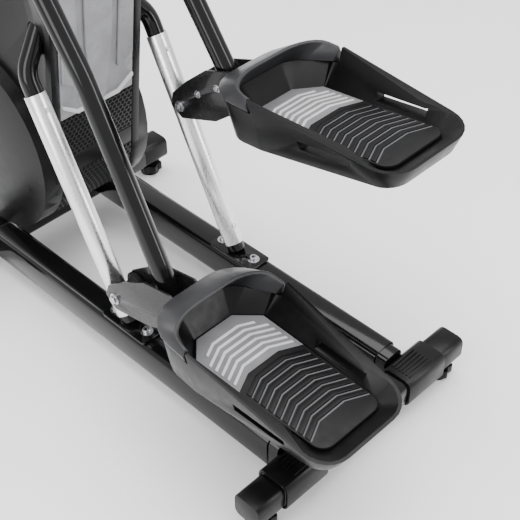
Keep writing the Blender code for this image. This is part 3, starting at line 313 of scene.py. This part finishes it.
def turned(profile, centre, axis, steps=48):
    """Round solid from (along, radius) points, turned about an axis through the centre."""
    work = bmesh.new()
    points = [work.verts.new((radius, 0.0, along)) for along, radius in profile]
    edges = [work.edges.new(pair) for pair in zip(points, points[1:])]
    bmesh.ops.spin(work, geom=points + edges, cent=(0, 0, 0), axis=(0, 0, 1), angle=math.tau, steps=steps,
                   use_merge=True)
    bmesh.ops.remove_doubles(work, verts=work.verts, dist=MERGE)
    bmesh.ops.recalc_face_normals(work, faces=work.faces)
    turn = Vector((0, 0, 1)).rotation_difference(Vector(axis)).to_matrix().to_4x4()
    bmesh.ops.transform(work, matrix=Matrix.Translation(centre) @ turn, verts=work.verts)
    return work


def slab(outline, low, high, width=0.001, shape=None, segments=2):
    """Flat outline of (x, y) points raised from low to high, softened, then placed."""
    work = bmesh.new()
    face = work.faces.new([work.verts.new((x, y, low)) for x, y in outline])
    raised = bmesh.ops.extrude_face_region(work, geom=[face])
    moved = [v for v in raised["geom"] if isinstance(v, bmesh.types.BMVert)]
    bmesh.ops.translate(work, vec=(0, 0, high - low), verts=moved)
    bmesh.ops.recalc_face_normals(work, faces=work.faces)
    soften(work, width, 30.0, segments)
    if shape is not None:
        bmesh.ops.transform(work, matrix=shape, verts=work.verts)
    return work


def box_piece(low, high, width=0.001, shape=None):
    outline = ((low[0], low[1]), (high[0], low[1]), (high[0], high[1]), (low[0], high[1]))
    return slab(outline, low[2], high[2], width, shape)


def filleted(points, radius, steps=12):
    """Path through the points with every inner corner rounded."""
    path = [Vector(points[0])]
    for before, corner, after in zip(points, points[1:], points[2:]):
        corner = Vector(corner)
        to_start, to_end = (Vector(before) - corner).normalized(), (Vector(after) - corner).normalized()
        half = to_start.angle(to_end) / 2
        cut = min(radius / math.tan(half), (Vector(before) - corner).length * 0.95,
                  (Vector(after) - corner).length * 0.95)
        start, end = corner + to_start * cut, corner + to_end * cut
        middle = corner + (to_start + to_end).normalized() * (cut / math.cos(half))
        spoke_start, spoke_end = start - middle, end - middle
        turn = spoke_start.rotation_difference(spoke_end)
        for i in range(steps + 1):
            step = spoke_start.copy()
            step.rotate(Matrix.Identity(3).to_quaternion().slerp(turn, i / steps))
            path.append(middle + step)
    path.append(Vector(points[-1]))
    return path


def tube(path, radius, shape=None, around=14):
    """Capped round tube along a path, as a bmesh."""
    line = bpy.data.curves.new("tube_line", "CURVE")
    line.dimensions = "3D"
    line.bevel_depth = radius
    line.bevel_resolution = around
    line.use_fill_caps = True
    spline = line.splines.new("POLY")
    spline.points.add(len(path) - 1)
    for point, where in zip(spline.points, path):
        point.co = (*where, 1.0)
    holder = bpy.data.objects.new("tube_line", line)
    bpy.context.scene.collection.objects.link(holder)
    bpy.context.view_layer.update()
    data = bpy.data.meshes.new_from_object(holder.evaluated_get(bpy.context.evaluated_depsgraph_get()))
    work = bmesh.new()
    work.from_mesh(data)
    bpy.data.objects.remove(holder)
    bmesh.ops.remove_doubles(work, verts=work.verts, dist=MERGE)
    bmesh.ops.recalc_face_normals(work, faces=work.faces)
    if shape is not None:
        bmesh.ops.transform(work, matrix=shape, verts=work.verts)
    return work


def joined(*parts):
    """All the given bmeshes in the first one."""
    first = parts[0]
    for part in parts[1:]:
        data = bpy.data.meshes.new("joined")
        part.to_mesh(data)
        part.free()
        first.from_mesh(data)
        bpy.data.meshes.remove(data)
    return first


def ring(half, bore, radius, edge, steps):
    """Round eye about X with a bore through it and chamfered outer edges."""
    profile = ((-half, bore), (-half, radius - edge), (edge - half, radius), (half - edge, radius),
               (half, radius - edge), (half, bore), (-half, bore))
    return turned(profile, (0, 0, 0), (1, 0, 0), steps)


def socket_bolt(name, where, direction, radius, body, washer=1.6):
    """Socket-head bolt on a washer."""
    height = radius * 0.95
    head = turned(((0.0, 0.0), (0.0, radius * washer), (0.0012, radius * washer), (0.0014, radius),
                   (height * 0.88, radius), (height, radius * 0.9), (height, radius * 0.55),
                   (height * 0.45, radius * 0.5), (height * 0.45, 0.0)), where, direction, 24)
    return finish_piece(name, head, ZINC, body, sharp=30.0)


BODY_OF = {name: body_of(item)[0] for name, item in frame["nodes"].items()}


# ---- base: rails, cross bars, caps and feet

for word in ("left", "right"):
    polished("base_rail_" + word, GLOSS_BLACK, 0.003)
    polished("rear_stabiliser_sleeve_" + word, BLACK_MOULDING, 0.003)
    polished("rear_end_cap_" + word, BLACK_MOULDING, 0.002)
    polished("front_end_cap_" + word, BLACK_MOULDING, 0.002)
    polished("foot_plate_" + word, GLOSS_BLACK, 0.001)
    polished("transport_wheel_" + word, TYRE, 0.0025)
    for place in ("rear_", "front_"):
        polished("levelling_foot_" + place + word, BLACK_MOULDING, 0.0015)
polished("rear_stabiliser", GLOSS_BLACK, 0.004)
polished("front_stabiliser", GLOSS_BLACK, 0.003)

for word, side, _ in SIDES:
    low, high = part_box("rear_stabiliser_sleeve_" + word)
    ribs = []
    for i in range(6):
        y = low.y + 0.014 + i * (high.y - low.y - 0.028) / 5
        inner, outer = (low.x + 0.012, high.x - 0.030) if side > 0 else (low.x + 0.030, high.x - 0.012)
        ribs.append(box_piece((inner, y - 0.0018, high.z - 0.002), (outer, y + 0.0018, high.z + 0.0022),
                              0.0008))
    finish_piece("sleeve_ribs_" + word, joined(*ribs), BLACK_MOULDING, "base")
    plate_low, plate_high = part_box("foot_plate_" + word)
    socket_bolt("foot_plate_bolt_" + word, (side * TRACK_X, plate_low.y + 0.021, plate_low.z + 0.0055),
                (0, 0, 1), 0.0078, "base")
    socket_bolt("foot_plate_front_bolt_" + word, (side * TRACK_X, plate_high.y - 0.014, plate_low.z + 0.0055),
                (0, 0, 1), 0.0078, "base")


# ---- inclined tracks with their bright sleeves

def track_point(side, along, out=0.0):
    return Vector((side * TRACK_X, 0.0, 0.0)) + TRACK_FOOT + TRACK_RUN * along + TRACK_OUT * out


for word, side, _ in SIDES:
    start, bend = track_point(side, TRACK_START), track_point(side, TRACK_BEND)
    head = Vector((side * TRACK_HEAD[0], *TRACK_HEAD[1:]))
    reach = (TRACK_X - FRAME_PLATE_FACE_X) / (TRACK_X - TRACK_HEAD[0])
    path = filleted((start, bend, bend.lerp(head, reach)), TRACK_BEND_RADIUS)
    finish_piece("look_guide_tube_" + word, tube(path, TRACK_TUBE_RADIUS), GLOSS_BLACK, "base",
                 ("guide_tube_" + word,))
    work = bmesh.new()
    low, high = SLEEVE_ENDS
    corners = [work.verts.new((radius, 0.0, along)) for radius, along in
               ((SLEEVE_INNER_RADIUS, low), (SLEEVE_OUTER_RADIUS, low),
                (SLEEVE_OUTER_RADIUS, high), (SLEEVE_INNER_RADIUS, high))]
    strip = work.faces.new(corners)
    bmesh.ops.rotate(work, verts=work.verts, cent=(0, 0, 0), matrix=Matrix.Rotation(-SLEEVE_WRAP / 2, 3, "Z"))
    bmesh.ops.spin(work, geom=list(work.verts) + list(work.edges) + [strip], cent=(0, 0, 0), axis=(0, 0, 1),
                   angle=SLEEVE_WRAP, steps=56, use_merge=False)
    bmesh.ops.remove_doubles(work, verts=work.verts, dist=MERGE)
    bmesh.ops.recalc_face_normals(work, faces=work.faces)
    soften(work, 0.0007, 60.0, 2)
    place = Matrix((TRACK_OUT, Vector((1.0, 0.0, 0.0)), TRACK_RUN)).transposed().to_4x4()
    place.translation = Vector((side * TRACK_X, 0.0, 0.0)) + TRACK_FOOT
    bmesh.ops.transform(work, matrix=place, verts=work.verts)
    finish_piece("look_track_sleeve_" + word, work, BRIGHT_SLEEVE, "base", ("track_sleeve_" + word,))
    for label, along in (("low", 0.060), ("high", 0.440)):
        screw = turned(((0.0, 0.0), (0.0, 0.0052), (0.0010, 0.0050), (0.0016, 0.0036), (0.0012, 0.0020),
                        (0.0006, 0.0018), (0.0006, 0.0)), track_point(side, along, 0.0203), TRACK_OUT, 24)
        finish_piece("sleeve_screw_%s_%s" % (label, word), screw, ZINC, "base")


# ---- legs, their rollers and brackets

for word, side, leg in SIDES:
    body = word + "_leg"
    path = [Vector((0.0, *spot)) for spot in LEG_ROUTE]
    shaft = tube(filleted(path, LEG_BEND_RADIUS, 28), LEG_TUBE_RADIUS, leg)
    eye = ring(LEG_TUBE_RADIUS, BIG_END_BORE, BIG_END_RADIUS, 0.002, 56)
    bmesh.ops.transform(eye, matrix=leg @ Matrix.Translation(path[-1]), verts=eye.verts)
    finish_piece("look_leg_tube_" + word, joined(shaft, eye), GLOSS_BLACK, body, ("leg_tube_" + word,))
    polished("leg_bracket_" + word, BRACKET_BLACK, 0.0018)
    polished("roller_axle_" + word, ZINC, 0.0008)
    rim, waist, half = ROLLER_RIM, ROLLER_WAIST, ROLLER_HALF_WIDTH
    profile = [(-half, ROLLER_BORE), (-half, rim - 0.001), (-half + 0.001, rim), (-half + 0.003, rim)]
    for i in range(13):
        angle = math.pi * i / 12
        profile.append((-(half - 0.003) * math.cos(angle) * 0.98, rim - (rim - waist) * math.sin(angle)))
    profile += [(half - 0.003, rim), (half - 0.001, rim), (half, rim - 0.001), (half, ROLLER_BORE),
                (-half, ROLLER_BORE)]
    wheel = turned(profile, leg.translation, (1, 0, 0), 56)
    finish_piece("look_track_roller_" + word, wheel, TYRE, word + "_roller", ("track_roller_" + word,))
    for label, reach in (("out", 1), ("in", -1)):
        direction = (side * reach, 0, 0)
        where = leg.translation + Vector(direction) * BRACKET_HALF_WIDTH
        socket_bolt("axle_bolt_%s_%s" % (label, word), where, direction, 0.0078, body, 1.5)
    for number, spot in enumerate(((-0.060, 0.042), (-0.118, 0.070))):
        where = leg @ Vector((side * -BRACKET_HALF_WIDTH, *spot))
        socket_bolt("bracket_bolt_%s_%d" % (word, number), where, (-side, 0, 0), 0.0052, body, 1.5)
    polished("crank_arm_" + word, CAST_SILVER, 0.0015)


# ---- pedals: moulded tray, hood and ribbed pad

def chevron(depth, rise, low, high, half, slant, width, leg):
    """Raised ridge of three runs across the pad, level in the middle and swept back at both ends."""
    front = [(-half, depth - slant), (-0.030, depth), (0.030, depth), (half, depth - slant)]
    back = [(x, y - width) for x, y in reversed(front)]
    return slab(front + back, low, high, rise, leg)


for word, side, leg in SIDES:
    body = word + "_leg"
    polished("pedal_tray_" + word, BLACK_MOULDING, 0.0024, 32.0)
    polished("toe_guard_" + word, GREY_MOULDING, 0.0018, 40.0)

    pad = node_copy("foot_pad_" + word)
    bmesh.ops.transform(pad, matrix=leg.inverted(), verts=pad.verts)
    soften(pad, 0.0015, 40.0, 2)
    for point, lean in (((0.0, PAD_SPLIT, 0.0), 0.0), ((SPLIT_HALF, PAD_SPLIT, 0.0), -PAD_LEAN),
                        ((-SPLIT_HALF, PAD_SPLIT, 0.0), PAD_LEAN)):
        bmesh.ops.bisect_plane(pad, geom=list(pad.verts) + list(pad.edges) + list(pad.faces), plane_co=point,
                               plane_no=(math.sin(-lean), math.cos(lean), 0.0), dist=MERGE)
    # Toe faces take the silver rubber darkened as painted shade; heel faces take the black rubber.
    for face in pad.faces:
        centre = face.calc_center_median()
        edge = PAD_SPLIT - max(0.0, abs(centre.x) - SPLIT_HALF) * math.tan(PAD_LEAN)
        face.material_index = 0 if centre.y > edge else 1
    bmesh.ops.transform(pad, matrix=leg, verts=pad.verts)
    finish_piece("look_foot_pad_" + word, pad, (PAD_SILVER_SHADED, PAD_BLACK), body, ("foot_pad_" + word,))

    light, dark, ridge_highlights = [], [], []
    # The toe ridges carry the silver rubber with its painted highlight.
    for i in range(6):
        depth = -0.262 - i * 0.0145
        half = min(0.070, 0.040 + max(0.0, -0.244 - depth) * 0.95)
        light.append(chevron(depth, 0.0007, RIDGE_FOOT, PAD_LEVEL + 0.0017, half, (half - 0.030) * 0.50,
                             0.0058, leg))
    for i in range(9):
        depth = PAD_SPLIT - 0.012 - i * 0.0162
        dark.append(chevron(depth, 0.0007, RIDGE_FOOT, PAD_LEVEL + 0.0020, 0.070, 0.019, 0.0096, leg))
        # A thin grey strip behind each heel ridge is a painted highlight on its edge.
        ridge_highlights.append(chevron(depth - 0.0108, 0.0003, RIDGE_FOOT, PAD_LEVEL + 0.0007, 0.070, 0.019,
                             0.0030, leg))
    finish_piece("pad_toe_ridges_" + word, joined(*light), PAD_SILVER_HIGHLIT, body)
    finish_piece("pad_heel_ridge_highlights_" + word, joined(*ridge_highlights), PAD_RIDGE_HIGHLIGHT, body)
    finish_piece("pad_heel_ridges_" + word, joined(*dark), PAD_RIDGE, body)


# ---- drive housing

polished("front_cover", SATIN_SILVER, 0.002)
polished("rear_panel", SATIN_SILVER, 0.002)
polished("upper_vent", VENT_MESH, 0.001)
polished("lower_vent", VENT_MESH, 0.001)
polished("vent_band", DARK_COVER, 0.0025)
polished("side_shell_left", DARK_COVER, 0.0025)
polished("side_shell_right", DARK_COVER, 0.0025)
polished("main_frame", GLOSS_BLACK, 0.0008)
polished("drive_pulley", BLACK_MOULDING, 0.0008)
polished("drive_belt", TYRE, 0.0)
polished("flywheel", IRON, 0.0015)
polished("flywheel_axle", ZINC, 0.0008)
polished("brake_magnet", IRON, 0.001)

PANEL_FACE = Matrix(((1.0, 0.0, 0.0, 0.0), (0.0, -0.1301, -0.9915, 0.2204), (0.0, 0.9914, -0.1302, 0.2820),
                     (0.0, 0.0, 0.0, 1.0)))
ridge = ((-0.016, 0.166), (0.016, 0.166), (0.030, 0.300), (0.036, 0.600), (-0.036, 0.600), (-0.030, 0.300))
finish_piece("panel_ridge", slab(ridge, -0.001, 0.009, 0.007, PANEL_FACE, 5), SATIN_SILVER, "base")
for word, side, _ in SIDES:
    cheek = [(side * x, y) for x, y in ((0.046, 0.215), (0.084, 0.235), (0.084, 0.600), (0.052, 0.600))]
    finish_piece("panel_shoulder_" + word, slab(cheek, -0.001, 0.006, 0.0048, PANEL_FACE, 5), SATIN_SILVER,
                 "base")
# Lower lip of the rear panel in a lighter copy of its silver: a painted highlight along the edge.
lip = ((-0.0845, 0.178), (-0.050, 0.153), (0.050, 0.153), (0.0845, 0.178), (0.0845, 0.186), (0.048, 0.1605),
       (-0.048, 0.1605), (-0.0845, 0.186))
finish_piece("panel_lip", slab(lip, -0.001, 0.006, 0.0015, PANEL_FACE, 3), PANEL_LIP_HIGHLIGHT, "base")

# ---- mast, handles and console

polished("mast", GLOSS_BLACK, 0.0025)
for word, side, _ in SIDES:
    pivot = Matrix.Translation((side * 0.212, 0.3167, 1.12)) @ Matrix.Rotation(side * HANDLE_LEAN, 4, "X")
    route = filleted([Vector(place) for place in (
        (0.0, 0.0, 0.0), (side * 0.010, -0.015, 0.180), (side * 0.055, -0.150, 0.340),
        (side * 0.040, -0.285, 0.400), (-side * 0.020, -0.330, 0.330))], 0.05, 14)
    hub = ring(0.018, 0.0115, 0.026, 0.0015, 48)
    bmesh.ops.transform(hub, matrix=pivot, verts=hub.verts)
    arm = joined(tube([Vector((0.0, 0.0, 0.014))] + route[1:], HANDLE_TUBE_RADIUS, pivot), hub)
    finish_piece("look_handle_arm_" + word, arm, GLOSS_BLACK, word + "_handle", ("handle_arm_" + word,))
    held = [point for point in route if point.y < -0.16]
    finish_piece("handle_grip_" + word, tube(held, HANDLE_GRIP_RADIUS, pivot), GRIP, word + "_handle")
polished("static_handlebar", GLOSS_BLACK, 0.0008, 50.0)
polished("console_housing", DARK_COVER, 0.004)
polished("console_screen", GLASS, 0.0005)
polished("start_button", GREY_MOULDING, 0.0008)
polished("resistance_up_button", GREY_MOULDING, 0.0008)
polished("resistance_down_button", GREY_MOULDING, 0.0008)


# ---- floor, light and camera

def stage_floor():
    work = bmesh.new()
    bmesh.ops.create_grid(work, x_segments=1, y_segments=1, size=14.0)
    data = bpy.data.meshes.new("studio_floor")
    work.to_mesh(data)
    work.free()
    floor = bpy.data.objects.new("studio_floor", data)
    floor.location.z = -0.0005
    bpy.context.scene.collection.objects.link(floor)
    pale = Finish("pale_floor", (0.97, 0.97, 0.97), 0.85)
    data.materials.append(pale.material)


def soft_light(name, where, towards, size, power):
    lamp = bpy.data.lights.new(name, "AREA")
    lamp.shape = "RECTANGLE"
    lamp.size, lamp.size_y = size
    lamp.energy = power
    item = bpy.data.objects.new(name, lamp)
    item.location = where
    item.rotation_euler = (Vector(towards) - Vector(where)).to_track_quat("-Z", "Y").to_euler()
    bpy.context.scene.collection.objects.link(item)


stage_floor()
soft_light("overhead_softbox", (0.2, -0.2, 3.2), (0.0, 0.0, 0.5), (3.2, 3.2), 150.0)
soft_light("left_softbox", (-2.6, -0.4, 1.8), (0.0, 0.0, 0.4), (1.2, 2.4), 48.0)
soft_light("rear_strip", (1.4, -2.6, 1.6), (0.0, 0.0, 0.4), (0.7, 2.4), 40.0)
soft_light("front_strip", (-0.6, 2.8, 2.0), (0.0, 0.0, 0.7), (0.8, 2.2), 35.0)

sky = bpy.data.worlds.new("studio_air")
sky.use_nodes = True
sky.node_tree.nodes["Background"].inputs["Color"].default_value = (0.97, 0.97, 0.98, 1.0)
sky.node_tree.nodes["Background"].inputs["Strength"].default_value = 1.0
bpy.context.scene.world = sky

azimuth, elevation = math.radians(-45.599), math.radians(41.686)
lens = bpy.data.cameras.new("view")
lens.sensor_width = 36.0
lens.lens = 79.556
lens.dof.use_dof = False
viewer = bpy.data.objects.new("view", lens)
back = Vector((math.sin(azimuth) * math.cos(elevation), -math.cos(azimuth) * math.cos(elevation),
               math.sin(elevation)))
viewer.location = (-1.092, -1.3013, 1.661)
viewer.rotation_euler = back.to_track_quat("Z", "Y").to_euler()
bpy.context.scene.collection.objects.link(viewer)
bpy.context.scene.camera = viewer
